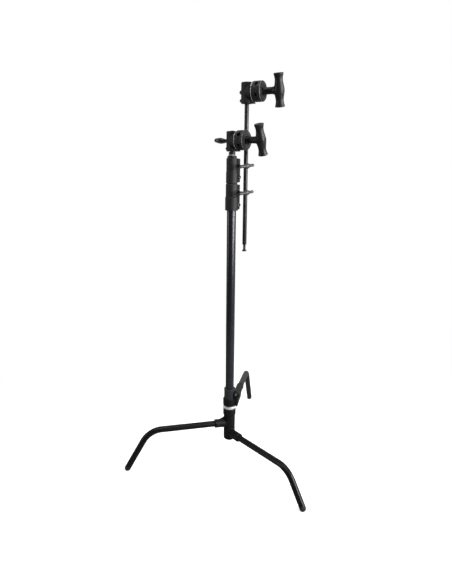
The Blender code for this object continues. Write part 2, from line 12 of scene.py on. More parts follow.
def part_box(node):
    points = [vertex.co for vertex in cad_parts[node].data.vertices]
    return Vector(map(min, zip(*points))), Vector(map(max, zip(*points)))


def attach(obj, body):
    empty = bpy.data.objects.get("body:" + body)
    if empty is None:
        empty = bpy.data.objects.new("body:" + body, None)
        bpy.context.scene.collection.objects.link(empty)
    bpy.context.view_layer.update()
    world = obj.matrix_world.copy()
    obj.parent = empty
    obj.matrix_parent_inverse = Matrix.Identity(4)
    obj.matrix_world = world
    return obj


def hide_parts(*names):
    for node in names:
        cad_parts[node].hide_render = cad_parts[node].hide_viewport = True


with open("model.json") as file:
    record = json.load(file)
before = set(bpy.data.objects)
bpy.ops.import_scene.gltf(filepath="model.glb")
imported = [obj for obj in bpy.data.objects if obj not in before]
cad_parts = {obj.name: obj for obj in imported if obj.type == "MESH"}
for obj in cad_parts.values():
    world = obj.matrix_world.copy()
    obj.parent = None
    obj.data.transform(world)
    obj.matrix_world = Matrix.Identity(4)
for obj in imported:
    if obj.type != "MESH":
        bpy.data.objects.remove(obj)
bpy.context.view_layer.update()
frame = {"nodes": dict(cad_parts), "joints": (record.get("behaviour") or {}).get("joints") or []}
MM = 0.001
CUT_EDGE = 0.1  # edge rounding of the shapes that only cut
JOINTS = {j["name"]: j for j in frame["joints"]}


# ---------------------------------------------------------------- places, from the frame
def joint_spot(name):
    return Vector(JOINTS[name]["pos_m"]) / MM


def joint_axis(name):
    return Vector(JOINTS[name]["axis"]).normalized()


def span(node, side):
    """Lowest and highest value of a CAD node's box along one world axis, in millimetres."""
    low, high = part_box(node)
    return low[side] / MM, high[side] / MM


def turned(x, y, z, at):
    made = Matrix((x, y, z)).transposed().to_4x4()
    made.translation = Vector(at)
    return made


def along(direction, at=(0, 0, 0)):
    spin = Vector(direction).normalized().to_track_quat("Z", "Y").to_matrix().to_4x4()
    return Matrix.Translation(Vector(at)) @ spin


def heading(degrees):
    return Matrix.Rotation(math.radians(degrees), 4, "Z")


STAND = Matrix.Translation((*joint_spot("left_leg_swivel").xy, 0))
UP = Vector((0, 0, 1))


def head_place(joint):
    """Z along the head's axis, X up."""
    out = joint_axis(joint)
    return turned(UP, out.cross(UP), out, joint_spot(joint))


LOWER_HEAD = head_place("lower_jaws_turn")
UPPER_HEAD = head_place("upper_jaws_turn")
ARM = Matrix.Translation((*joint_spot("upper_jaws_turn").xy, 0))


# ---------------------------------------------------------------- shapes
def soften(profile, radius=0.6, steps=3):
    """Rounds the corners of a profile of (radius, height[, form]) points."""
    closed = profile[0][0] > 0
    count = len(profile)
    made = []
    for i, point in enumerate(profile):
        ends = i in (0, count - 1)
        if (ends and not closed) or len(point) > 2:
            made.append(point)
            continue
        here = Vector(point[:2])
        before = Vector(profile[i - 1][:2]) - here
        after = Vector(profile[(i + 1) % count][:2]) - here
        if before.length < 1e-6 or after.length < 1e-6:
            made.append(point)
            continue
        bend = math.pi - before.angle(after)
        if bend < 0.2:
            made.append(point)
            continue
        reach = min(radius * math.tan(bend / 2), 0.45 * before.length, 0.45 * after.length)
        first = here + before.normalized() * reach
        last = here + after.normalized() * reach
        for k in range(steps + 1):
            t = k / steps
            mixed = first * (1 - t) ** 2 + here * (2 * t * (1 - t)) + last * t * t
            made.append((mixed.x, mixed.y))
    return made


def hexed(angle):
    """Radius of a hexagon of apothem 1."""
    wrapped = (angle + math.pi / 6) % (math.pi / 3) - math.pi / 6
    return 1 / math.cos(wrapped)


def lathe(profile, around=72, place=None):
    """Turns a profile about Z; a third entry of a point is its radius as a function of angle."""
    shape = bmesh.new()
    place = place or Matrix.Identity(4)
    rings = []
    for point in profile:
        if point[0] == 0:
            rings.append([shape.verts.new(place @ Vector((0, 0, point[1])))])
            continue
        ring = []
        for i in range(around):
            a = 2 * math.pi * i / around
            r = point[0] * (point[2](a) if len(point) > 2 else 1.0)
            ring.append(
                shape.verts.new(place @ Vector((r * math.cos(a), r * math.sin(a), point[1])))
            )
        rings.append(ring)
    count = len(rings)
    solid = profile[0][0] == 0
    for k in range(count - 1 if solid else count):
        low, high = rings[k], rings[(k + 1) % count]
        for i in range(around):
            j = (i + 1) % around
            if len(low) == 1:
                shape.faces.new((low[0], high[j], high[i]))
            elif len(high) == 1:
                shape.faces.new((low[i], low[j], high[0]))
            else:
                shape.faces.new((low[i], low[j], high[j], high[i]))
    return shape


def rod(radius, low, high, around=48, place=None, edge=0.5):
    profile = [(0, low), (radius, low), (radius, high), (0, high)]
    return lathe(soften(profile, edge), around, place)


def tube(outer, inner, low, high, around=96, edge=0.5):
    profile = [(inner, low), (outer, low), (outer, high), (inner, high)]
    return lathe(soften(profile, edge), around)


def box(low, high, place=None):
    shape = bmesh.new()
    middle = (Vector(low) + Vector(high)) / 2
    size = Vector(high) - Vector(low)
    where = (place or Matrix.Identity(4)) @ Matrix.Translation(middle)
    bmesh.ops.create_cube(shape, size=1.0, matrix=where @ Matrix.Diagonal((*size, 1)))
    return shape


def plate(outline, half, offset=0.0):
    """Extrudes an (x, z) outline along Y."""
    shape = bmesh.new()
    near = [shape.verts.new((x, offset - half, z)) for x, z in outline]
    far = [shape.verts.new((x, offset + half, z)) for x, z in outline]
    shape.faces.new(near)
    shape.faces.new(far[::-1])
    for i in range(len(outline)):
        j = (i + 1) % len(outline)
        shape.faces.new((near[i], far[i], far[j], near[j]))
    return shape


def holder(shape):
    """A passing object that carries a shape through modifiers."""
    bmesh.ops.recalc_face_normals(shape, faces=shape.faces)
    mesh = bpy.data.meshes.new("passing")
    shape.to_mesh(mesh)
    shape.free()
    made = bpy.data.objects.new("passing", mesh)
    bpy.context.scene.collection.objects.link(made)
    return made


def settle(base, helpers=()):
    """The shape after the modifiers, with the passing objects removed."""
    done = bmesh.new()
    graph = bpy.context.evaluated_depsgraph_get()
    whole = bpy.data.meshes.new_from_object(base.evaluated_get(graph))
    done.from_mesh(whole)
    bpy.data.meshes.remove(whole)
    for old in (base, *helpers):
        mesh = old.data
        bpy.data.objects.remove(old)
        bpy.data.meshes.remove(mesh)
    return done


def worked(shape, cut=()):
    """Cuts shapes away from a shape."""
    base = holder(shape)
    helpers = []
    for other in cut:
        helpers.append(holder(other))
        step = base.modifiers.new("step", "BOOLEAN")
        step.operation = "DIFFERENCE"
        step.solver = "EXACT"
        step.object = helpers[-1]
    return settle(base, helpers)


def cast(shapes, cut=(), voxel=0.8, rounds=4, keep=0.5, first=0.3):
    """A casting: overlapping shapes grown into one skin, cut, then skinned again so that edges
    and joints are rounded."""
    whole = bmesh.new()
    for shape in shapes:
        bmesh.ops.recalc_face_normals(shape, faces=shape.faces)
        mesh = bpy.data.meshes.new("passing")
        shape.to_mesh(mesh)
        shape.free()
        whole.from_mesh(mesh)
        bpy.data.meshes.remove(mesh)
    base = bpy.data.objects.new("passing", bpy.data.meshes.new("passing"))
    whole.to_mesh(base.data)
    whole.free()
    bpy.context.scene.collection.objects.link(base)
    step = base.modifiers.new("skin", "REMESH")
    step.mode = "VOXEL"
    step.voxel_size = voxel
    if first < 1:
        step = base.modifiers.new("light", "DECIMATE")
        step.ratio = first
    solid = settle(base)
    if cut:
        solid = worked(solid, cut)
    base = holder(solid)
    step = base.modifiers.new("skin", "REMESH")
    step.mode = "VOXEL"
    step.voxel_size = voxel
    step = base.modifiers.new("soft", "SMOOTH")
    step.factor = 0.5
    step.iterations = rounds
    if keep < 1:
        step = base.modifiers.new("light", "DECIMATE")
        step.ratio = keep
    return settle(base)


def piece(name, shape, look, place, body, nodes=(), sharp=38.0, smooth=False):
    """Makes an object of the model from a shape in millimetres and lets it ride on a body."""
    if not smooth:
        bmesh.ops.recalc_face_normals(shape, faces=shape.faces)
    bmesh.ops.scale(shape, vec=(MM, MM, MM), verts=shape.verts)
    mesh = bpy.data.meshes.new(name)
    shape.to_mesh(mesh)
    shape.free()
    mesh.shade_smooth()
    if not smooth:
        mesh.set_sharp_from_angle(angle=math.radians(sharp))
    mesh.materials.append(look)
    made = bpy.data.objects.new(name, mesh)
    bpy.context.scene.collection.objects.link(made)
    where = place.copy()
    where.translation = where.translation * MM
    made.matrix_world = where
    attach(made, body)
    if nodes:
        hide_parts(*nodes)
    return made


# ---------------------------------------------------------------- materials
class Graph:
    """Short spelling for building a material's nodes."""

    def __init__(self, name):
        self.made = bpy.data.materials.new(name)
        self.made.use_nodes = True
        self.tree = self.made.node_tree
        self.shader = self.tree.nodes["Principled BSDF"]

    def node(self, kind, inputs=None, **settings):
        made = self.tree.nodes.new(kind)
        for key, value in settings.items():
            setattr(made, key, value)
        for key, value in (inputs or {}).items():
            if isinstance(value, bpy.types.NodeSocket):
                self.tree.links.new(value, made.inputs[key])
            else:
                made.inputs[key].default_value = value
        return made

    def feed(self, name, socket):
        self.tree.links.new(socket, self.shader.inputs[name])

    def set(self, **values):
        for key, value in values.items():
            self.shader.inputs[key.replace("_", " ")].default_value = value


def noise(g, place, scale, detail=3.0, rough=0.55):
    return g.node(
        "ShaderNodeTexNoise",
        {"Vector": place, "Scale": scale, "Detail": detail, "Roughness": rough},
    ).outputs["Fac"]


def stretch(g, place, scale):
    return g.node("ShaderNodeMapping", {"Vector": place, "Scale": scale}).outputs["Vector"]


def ranged(g, value, low, high, out_low, out_high):
    return g.node(
        "ShaderNodeMapRange",
        {
            "Value": value,
            "From Min": low,
            "From Max": high,
            "To Min": out_low,
            "To Max": out_high,
        },
    ).outputs["Result"]


def blended(g, fac, a, b):
    made = g.node("ShaderNodeMix", data_type="RGBA")
    g.tree.links.new(fac, made.inputs["Factor"])
    for key, value in (("A", a), ("B", b)):
        spot = [s for s in made.inputs if s.name == key and s.type == "RGBA"][0]
        if isinstance(value, bpy.types.NodeSocket):
            g.tree.links.new(value, spot)
        else:
            spot.default_value = (*value, 1.0)
    return [s for s in made.outputs if s.type == "RGBA"][0]


def finish(
    name,
    dark,
    light,
    rough,
    spread=0.08,
    metal=0.0,
    coarse=35.0,
    fine=900.0,
    depth=0.00004,
    lines=None,
    wear=None,
    rim=None,
    level=0.5,
):
    """A black or metal finish: mottled colour, uneven roughness, a fine bump, and where asked for
    drawn or turned lines, brighter worn edges and a painted highlight band along a rim."""
    g = Graph(name)
    place = g.node("ShaderNodeTexCoord").outputs["Object"]
    broad = noise(g, place, coarse, 4.0, 0.6)
    small = noise(g, place, fine, 3.0, 0.6)
    colour = blended(g, ranged(g, broad, 0.3, 0.7, 0.0, 1.0), dark, light)
    uneven = noise(g, place, coarse * 3.1, 5.0, 0.65)
    roughness = ranged(g, uneven, 0.3, 0.7, rough - spread, rough + spread)
    height = small
    if lines == "drawn":
        streaks = noise(g, stretch(g, place, (1.0, 1.0, 0.012)), 1400.0, 2.0, 0.5)
    if lines == "turned":
        parts = g.node("ShaderNodeSeparateXYZ", {"Vector": place})
        across = g.node(
            "ShaderNodeVectorMath",
            {
                0: g.node(
                    "ShaderNodeCombineXYZ", {"X": parts.outputs["X"], "Y": parts.outputs["Y"]}
                ).outputs["Vector"]
            },
            operation="LENGTH",
        ).outputs["Value"]
        rings = g.node("ShaderNodeCombineXYZ", {"X": across, "Z": parts.outputs["Z"]})
        streaks = noise(g, rings.outputs["Vector"], 2200.0, 2.0, 0.5)
    if lines:
        height = g.node("ShaderNodeMath", {0: streaks, 1: small}, operation="ADD").outputs[0]
    if wear:
        edge = g.node("ShaderNodeNewGeometry").outputs["Pointiness"]
        patchy = noise(g, place, 260.0, 4.0, 0.7)
        rub = ranged(g, edge, 0.54, 0.64, 0.0, 1.0)
        rub = g.node(
            "ShaderNodeMath",
            {0: rub, 1: ranged(g, patchy, 0.42, 0.62, 0.0, 1.0)},
            operation="MULTIPLY",
            use_clamp=True,
        ).outputs[0]
        colour = blended(g, rub, colour, wear)
    # rim gives two heights and a colour: between them a painted highlight, a lighter colour where
    # a rounded edge shines
    if rim:
        high = g.node("ShaderNodeSeparateXYZ", {"Vector": place}).outputs["Z"]
        patchy = noise(g, place, 90.0, 3.0, 0.6)
        from_below = ranged(g, high, rim[0] - 0.0004, rim[0], 0.0, 1.0)
        from_above = ranged(g, high, rim[1], rim[1] + 0.0004, 1.0, 0.0)
        painted_highlight_band = g.node(
            "ShaderNodeMath", {0: from_below, 1: from_above}, operation="MULTIPLY"
        ).outputs[0]
        painted_highlight_band = g.node(
            "ShaderNodeMath",
            {0: painted_highlight_band, 1: ranged(g, patchy, 0.35, 0.6, 0.15, 1.0)},
            operation="MULTIPLY",
        ).outputs[0]
        colour = blended(g, painted_highlight_band, colour, rim[2])
    g.feed("Base Color", colour)
    g.feed("Roughness", roughness)
    bump = g.node("ShaderNodeBump", {"Height": height, "Strength": 1.0, "Distance": depth})
    g.feed("Normal", bump.outputs["Normal"])
    g.set(Metallic=metal, Specular_IOR_Level=level)
    g.made.diffuse_color = (*light, 1.0)
    return g.made


BLACK_TUBE = finish(
    "black_tube",
    (0.0085, 0.0095, 0.0125),
    (0.013, 0.0145, 0.019),
    0.3,
    0.05,
    fine=1500.0,
    depth=0.000012,
    lines="drawn",
)
BLACK_SLEEVE = finish(
    "black_sleeve",
    (0.014, 0.0165, 0.021),
    (0.020, 0.023, 0.029),
    0.42,
    0.05,
    fine=1500.0,
    depth=0.00002,
)
BLACK_LEG = finish(
    "black_leg",
    (0.0036, 0.0038, 0.0040),
    (0.0064, 0.0068, 0.0068),
    0.29,
    0.05,
    coarse=25.0,
    fine=420.0,
    depth=0.00004,
    level=0.22,
)
BLACK_CAST = finish(
    "black_casting",
    (0.0085, 0.0085, 0.009),
    (0.015, 0.015, 0.0155),
    0.58,
    0.08,
    fine=1100.0,
    depth=0.00022,
    wear=(0.05, 0.05, 0.052),
    level=0.35,
)
BLACK_HUB = finish(
    "black_hub_casting",
    (0.0042, 0.0042, 0.0045),
    (0.0085, 0.0085, 0.009),
    0.46,
    0.08,
    fine=1100.0,
    depth=0.00016,
    wear=(0.04, 0.04, 0.042),
    level=0.18,
)
BLACK_DISC = finish(
    "black_disc",
    (0.0085, 0.0085, 0.009),
    (0.0145, 0.0145, 0.015),
    0.5,
    0.07,
    fine=1300.0,
    depth=0.0001,
    lines="turned",
    # painted highlight: a light grey band at 60 to 61.5 mm round the outer disc's rounded rim,
    # where its edge shines
    rim=(0.0600, 0.0615, (0.2, 0.2, 0.2)),
    level=0.4,
)
DARK_STEEL = finish(
    "dark_steel",
    (0.02, 0.02, 0.021),
    (0.035, 0.035, 0.037),
    0.38,
    0.08,
    metal=0.5,
    fine=1500.0,
    depth=0.00002,
    lines="turned",
)
WING_STEEL = finish(
    "wing_handle_metal",
    (0.045, 0.045, 0.049),
    (0.078, 0.078, 0.084),
    0.48,
    0.1,
    metal=0.35,
    fine=900.0,
    depth=0.00006,
    wear=(0.12, 0.12, 0.125),
)
BRIGHT_STEEL = finish(
    "bright_steel",
    (0.80, 0.80, 0.79),
    (0.92, 0.92, 0.91),
    0.34,
    0.08,
    metal=0.5,
    fine=1500.0,
    depth=0.00002,
    lines="turned",
)
SCREW_STEEL = finish(
    "screw_steel",
    (0.16, 0.16, 0.165),
    (0.26, 0.26, 0.265),
    0.4,
    0.08,
    metal=0.5,
    fine=1500.0,
    depth=0.00002,
)
ZINC = finish(
    "zinc_plate",
    (0.58, 0.58, 0.58),
    (0.72, 0.72, 0.72),
    0.5,
    0.08,
    metal=0.25,
    fine=1500.0,
    depth=0.00001,
)
BLACK_PLASTIC = finish(
    "black_plastic",
    (0.0095, 0.009, 0.0105),
    (0.014, 0.0135, 0.0155),
    0.38,
    0.04,
    fine=1600.0,
    depth=0.00003,
    level=0.25,
)
BLACK_RUBBER = finish(
    "black_rubber",
    (0.008, 0.008, 0.008),
    (0.016, 0.016, 0.016),
    0.75,
    0.1,
    fine=1200.0,
    depth=0.00008,
)
NYLON = finish(
    "nylon", (0.62, 0.61, 0.57), (0.74, 0.73, 0.69), 0.5, 0.05, fine=1200.0, depth=0.00003
)

# ---------------------------------------------------------------- legs
# The same centre lines as the CAD legs, in each leg's own upright plane.
LEG_R, LEG_BORE, LEG_BEND, FOOT_HEIGHT = 12.5, 10.3, 85.0, 11.5
LEGS = {
    "left": (222.8, (43.0, 155.5), (340.7, 167.8), (441.4, 0.0), 0.0, "left_leg"),
    "right": (-26.1, (45.0, 110.2), (355.1, 129.2), (449.8, 0.0), 0.0, "base"),
    "sliding": (107.2, (60.0, 277.4), (353.6, 229.0), (519.1, 0.0), -29.0, "sliding_leg"),
}


def leg_line(start, corner, foot, steps=24):
    start, corner, foot = Vector(start), Vector(corner), Vector(foot)
    into = (corner - start).normalized()
    out = (foot - corner).normalized()
    end = foot - out * (FOOT_HEIGHT / -out.y)
    turn = math.acos(into.dot(out))
    reach = LEG_BEND * math.tan(turn / 2)
    middle = corner - into * reach + Vector((into.y, -into.x)) * LEG_BEND
    points = []
    first = corner - into * reach
    for k in range(9):
        points.append((start.lerp(first, k / 9), into))
    for k in range(steps + 1):
        a = turn * k / steps
        way = Vector(
            (
                into.x * math.cos(a) + into.y * math.sin(a),
                into.y * math.cos(a) - into.x * math.sin(a),
            )
        )
        points.append((middle - Vector((way.y, -way.x)) * LEG_BEND, way))
    last = points[-1][0]
    for k in range(1, 9):
        points.append((last.lerp(end - out * 7.0, k / 8), out))
    return points, end, out


def leg_skin(points, offset, around=56):
    """A bent pipe of round section: skin and bore, joined by flat rings at both cut ends."""
    shape = bmesh.new()
    layers = []
    for radius in (LEG_R, LEG_BORE):
        rings = []
        for spot, way in points:
            normal = Vector((-way.y, way.x))
            ring = []
            for i in range(around):
                a = 2 * math.pi * i / around
                flat = spot + normal * (radius * math.cos(a))
                ring.append(shape.verts.new((flat.x, offset + radius * math.sin(a), flat.y)))
            rings.append(ring)
        layers.append(rings)
    for rings in layers:
        for low, high in zip(rings, rings[1:]):
            for i in range(around):
                j = (i + 1) % around
                shape.faces.new((low[i], low[j], high[j], high[i]))
    for end in (0, -1):
        skin, bore = layers[0][end], layers[1][end]
        for i in range(around):
            j = (i + 1) % around
            shape.faces.new((skin[i], skin[j], bore[j], bore[i]))
    return shape


def foot_shape(way):
    profile = [(0, -26.0), (9.4, -26.0), (9.9, -24.5), (9.9, -6.6), (12.3, -6.6), (12.5, -6.2)]
    profile += [(12.5, -3.4), (12.15, -3.0), (12.15, -2.4), (12.5, -2.0), (12.5, 0)]
    for k in range(1, 12):
        a = math.pi / 2 * k / 12
        profile.append((12.5 * math.cos(a), 12.5 * math.sin(a)))
    profile.append((0, 12.5))
    shape = lathe(profile, 56, along((way.x, 0, way.y)))
    every = shape.verts[:] + shape.edges[:] + shape.faces[:]
    done = bmesh.ops.bisect_plane(
        shape, geom=every, plane_co=(0, 0, -FOOT_HEIGHT), plane_no=(0, 0, -1), clear_outer=True
    )
    rim = [e for e in done["geom_cut"] if isinstance(e, bmesh.types.BMEdge)]
    bmesh.ops.contextual_create(shape, geom=rim)
    return shape


def socket_screw(shank, low, head, top, hexagon, seat):
    """A cap screw along +Z: shank from low to seat, head from seat to top."""
    profile = [(0, low), (shank, low), (shank, seat), (head, seat), (head, top)]
    profile = soften(profile + [(hexagon * 1.3, top)], 0.5)[:-1]
    profile += [(hexagon * 1.32, top), (hexagon, top - 0.4, hexed), (hexagon, top - 2.6, hexed)]
    profile += [(0, top - 3.2)]
    return lathe(profile, 48)


for side, (way, start, corner, foot, offset, body) in LEGS.items():
    place = STAND @ heading(way)
    points, end, out = leg_line(start, corner, foot)
    piece(
        f"{side}_leg_pipe",
        leg_skin(points, offset),
        BLACK_LEG,
        place,
        body,
        [f"{side}_leg_tube"],
    )
    piece(
        f"{side}_foot",
        foot_shape(out),
        BLACK_RUBBER,
        place @ Matrix.Translation((end.x, offset, end.y)),
        body,
        [f"{side}_foot_cap"],
    )


SOCKET_R, SOCKET_GAP = 18.2, 0.3  # outside of a leg socket, and its clearance on the leg
RINGS = {"left": (139.5, 186.5), "right": (86.0, 135.8)}  # heights of the brackets' rings


def hub_bracket(side, reach, bore_from, rise):
    """A ring on the hub with a leg socket, a web that rises above it, and a side screw."""
    way, start, corner, _, _, body = LEGS[side]
    start, corner = Vector(start), Vector(corner)
    line = (corner - start).normalized()

    def spot(x):
        return start + line * (x - start.x)

    def barrel(radius, from_x, to_x, edge=1.6):
        a, b = spot(from_x), spot(to_x)
        turn = along((line.x, 0, line.y), (a.x, 0, a.y))
        return rod(radius, 0, (b - a).length, 56, turn, edge)

    top = start.y + rise
    gusset = plate(
        [
            (18, start.y),
            (18, top),
            (25, top - 0.6),
            (reach - 14, start.y + 16),
            (reach - 14, start.y),
        ],
        4.6,
    )
    screw = spot(reach - 9)
    screw_at = along((0, 1, 0), (screw.x, 0, screw.y))
    made = cast(
        (
            tube(24.2, 17.0, *RINGS[side], 64, 1.2),
            barrel(SOCKET_R - 0.5, 16, reach - 0.6),
            barrel(SOCKET_R, reach - 5.5, reach),
            gusset,
            rod(7.0, 8.0, 18.6, 32, screw_at, 0.8),
        ),
        (
            barrel(LEG_R + SOCKET_GAP, bore_from, reach + 20, CUT_EDGE),
            rod(20.4, RINGS[side][0] - 6, RINGS[side][1] + 6, 64, None, CUT_EDGE),
            rod(2.7, 8.0, 30.0, 24, screw_at, CUT_EDGE),
        ),
    )
    place = STAND @ heading(way)
    piece(
        f"{side}_bracket",
        made,
        BLACK_HUB,
        place,
        body,
        [f"{side}_leg_bracket"],
        smooth=True,
    )
    piece(
        f"{side}_bracket_screw",
        socket_screw(2.2, 13.2, 4.3, 21.4, 2.0, 18.6),
        DARK_STEEL,
        place @ screw_at,
        body,
        [f"{side}_leg_screw"],
    )


hub_bracket("left", 64.0, 41.0, 27.0)
hub_bracket("right", 68.0, 43.0, 21.5)

# ---------------------------------------------------------------- hub
low, high = span("hub_core", 2)
piece(
    "hub_post",
    tube(20.0, 15.5, low, high),
    DARK_STEEL,
    STAND,
    "base",
    ["hub_core"],
)
cap = [(0, 78.2), (6.0, 78.2), (6.6, 79.0), (9.0, 79.0), (9.6, 78.2), (15.0, 78.2)]
cap += [(20.5, 79.4), (23.4, 82.6), (23.8, 85.6), (15.0, 85.6), (15.0, 96.0), (0, 96.0)]
piece(
    "hub_cap",
    lathe(soften(cap, 1.0)),
    BLACK_HUB,
    STAND,
    "base",
    ["hub_bottom_cap"],
)
top = span("hub_top_casting", 2)[1]
collar = [(20.4, 187.0), (22.8, 187.0), (23.6, 189.5), (26.3, 195.0), (26.6, 199.0)]
collar += [(26.6, 214.0), (26.1, 214.6), (26.1, 215.6), (26.6, 216.2), (26.6, top - 1.4)]
collar += [(25.4, top), (20.4, top)]
piece(
    "hub_collar",
    lathe(soften(collar, 0.9)),
    BLACK_HUB,
    STAND,
    "base",
    ["hub_top_casting"],
)

# ---------------------------------------------------------------- release ring
RING_GAP = 0.9  # a shadow line above and below the bright ring
low, high = span("release_ring", 2)
low, high = low + RING_GAP, high - RING_GAP


def knurl(angle):
    return 1.0 + 0.012 * math.cos(angle * 72)


edge = [(18.2, low), (25.9, low), (26.7, low + 1.2), (26.7, low + 2.0, knurl)]
edge += [(26.7, high - 2.0, knurl), (26.7, high - 1.2), (25.9, high), (18.2, high)]
piece(
    "silver_ring",
    lathe(edge, 432),
    BRIGHT_STEEL,
    STAND,
    "release_ring",
    ["release_ring"],
    sharp=30,
)
knob = [(0, 27.3), (3.0, 27.3), (3.0, 28.6), (4.2, 28.9), (4.2, 32.0), (3.4, 33.0), (0, 33.0)]
piece(
    "ring_knob",
    lathe(soften(knob, 0.5), 40, along((1, 0, 0), (0, 0, (low + high) / 2))),
    BLACK_PLASTIC,
    STAND @ heading(32.0),
    "release_ring",
    ["release_knob"],
)

# ---------------------------------------------------------------- column and risers
COLUMN_R, RISER1_R, RISER2_R, WALL = 17.5, 15.0, 12.5, 2.0
PIPES = (
    ("column_tube", COLUMN_R, BLACK_TUBE, "column", "black_tube"),
    ("riser_1_tube", RISER1_R, DARK_STEEL, "riser_1", "dark_steel"),
    ("riser_2_tube", RISER2_R, DARK_STEEL, "riser_2", "dark_steel"),
)
for node, radius, look, body, slot in PIPES:
    low, high = span(node, 2)
    skin = tube(radius, radius - WALL, low, high)
    piece(f"{node}_skin", skin, look, STAND, body, [node])
low, high = span("column_spigot", 2)
spigot = [(12.0, low), (15.1, low), (15.1, high), (12.0, high)]
piece(
    "spigot",
    lathe(soften(spigot, 1.0), 72),
    DARK_STEEL,
    STAND,
    "column",
    ["column_spigot"],
)
PIN_RING = (1251.6, 1254.6)
low, high = span("riser_top_collar", 2)
collar = [(12.85, low), (17.6, low), (18.4, low + 1.0), (18.0, low + 4.0), (16.8, low + 4.6)]
collar += [(16.8, high - 0.6), (16.0, high), (12.85, high)]
piece(
    "top_collar",
    lathe(soften(collar, 0.5)),
    BLACK_CAST,
    STAND,
    "riser_2",
    ["riser_top_collar"],
)
low, high = span("baby_pin", 2)
pin = [(0, low), (10.1, low), (10.1, PIN_RING[0]), (12.2, PIN_RING[0]), (12.2, 1263.8)]
pin += [(7.94, 1263.8), (7.94, 1296.0), (6.6, 1298.0), (6.6, 1310.0), (7.94, 1312.0)]
pin += [(7.94, high - 1.5), (6.4, high), (0, high)]
piece(
    "stand_pin",
    lathe(soften(pin, 0.5), 64),
    BLACK_DISC,
    STAND,
    "riser_2",
    ["baby_pin"],
)
piece(
    "pin_ring",
    tube(13.6, 12.3, PIN_RING[0] + 0.6, PIN_RING[1] - 0.6, 96, 0.4),
    ZINC,
    STAND,
    "riser_2",
    ["baby_pin"],
)

# ---------------------------------------------------------------- sliding leg
low, high = span("sliding_leg_sleeve", 2)
sleeve = [(19.2, low), (22.9, low), (22.9, high - 3.2), (23.4, high - 2.6), (23.4, high - 0.8)]
sleeve += [(22.6, high), (19.2, high)]
piece(
    "sleeve",
    lathe(soften(sleeve, 0.4), 96),
    BLACK_SLEEVE,
    STAND,
    "sliding_sleeve",
    ["sliding_leg_sleeve"],
)
way, start, corner, _, offset, body = LEGS["sliding"]
place = STAND @ heading(way)
begin, line = Vector(start), (Vector(corner) - Vector(start)).normalized()


def socket_rod(radius, from_x, to_x, edge=1.6, around=48):
    a = begin + line * (from_x - begin.x)
    b = begin + line * (to_x - begin.x)
    return rod(
        radius, 0, (b - a).length, around, along((line.x, 0, line.y), (a.x, offset, a.y)), edge
    )


collar = [(20.0, 241.5), (27.2, 241.5), (27.2, 268.0), (20.0, 268.0)]
web = [(-16, 242.5), (26, 240.5), (84, 237.0), (114, 250.0), (114, 272.0)]
web += [(20, 298.0), (-12, 303.0), (-16, 299.0)]
screw_at = along((-1, 0, 0), (-8, offset, 294))
shape = cast(
    (
        lathe(collar, 72),
        plate(web, 8.5, offset),
        socket_rod(15.4, -12.0, 118.0),
        socket_rod(16.2, 110.0, 118.0),
    ),
    (
        rod(23.75, 230, 330, 72, None, CUT_EDGE),
        socket_rod(LEG_R + SOCKET_GAP, 58.0, 140.0, CUT_EDGE),
        rod(2.7, -30, 12, 24, screw_at, CUT_EDGE),
        rod(5.2, 8.2, 16, 24, screw_at, CUT_EDGE),
    ),
)
piece(
    "sliding_casting",
    shape,
    BLACK_HUB,
    place,
    body,
    ["sliding_leg_casting"],
    smooth=True,
)
piece(
    "sliding_screw",
    socket_screw(2.3, -16.0, 4.2, 11.8, 2.1, 8.4),
    SCREW_STEEL,
    place @ screw_at,
    body,
    ["sliding_leg_screw"],
)


# ---------------------------------------------------------------- wing handles
WAISTED = (
    (0, 35.0), (2.6, 34.7), (4.4, 33.6), (5.5, 31.6), (5.8, 29.4), (5.4, 26.6), (4.9, 23.6),
    (5.0, 20.4), (5.8, 16.0), (7.6, 10.6), (9.6, 5.6), (10.4, 0.0),
)
OVAL = (
    (0, 36.0), (3.2, 35.5), (5.4, 34.0), (6.8, 31.4), (7.6, 27.0), (8.6, 20.0), (9.6, 12.0),
    (10.3, 5.0), (10.5, 0.0),
)


def wing(name, place, body, node, neck, hole, half=WAISTED):
    """A cast wing handle: screw axis +Z, wings along X, a neck back to height neck."""
    spindle = [(r, -x) for r, x in half] + list(half[::-1][1:])
    bar = lathe(spindle, 48, along((1, 0, 0)))
    stem = lathe(soften([(0, neck), (6.6, neck), (7.6, -6), (7.8, 8.4), (0, 8.4)], 1.0), 48)
    piece(
        name,
        cast((bar, stem), (rod(hole, neck - 5, 3.0, 32, None, CUT_EDGE),), 0.6, 5, 0.5),
        WING_STEEL,
        place,
        body,
        [node],
        smooth=True,
    )


# ---------------------------------------------------------------- riser clamps
NECK, NECK_R = 3.4, 20.6
CLAMP_GAP = 0.35
LUG = math.degrees(math.atan2(*joint_axis("lower_clamp_turn").yx)) + 90.0
TOWARD = (0, -1, 0)


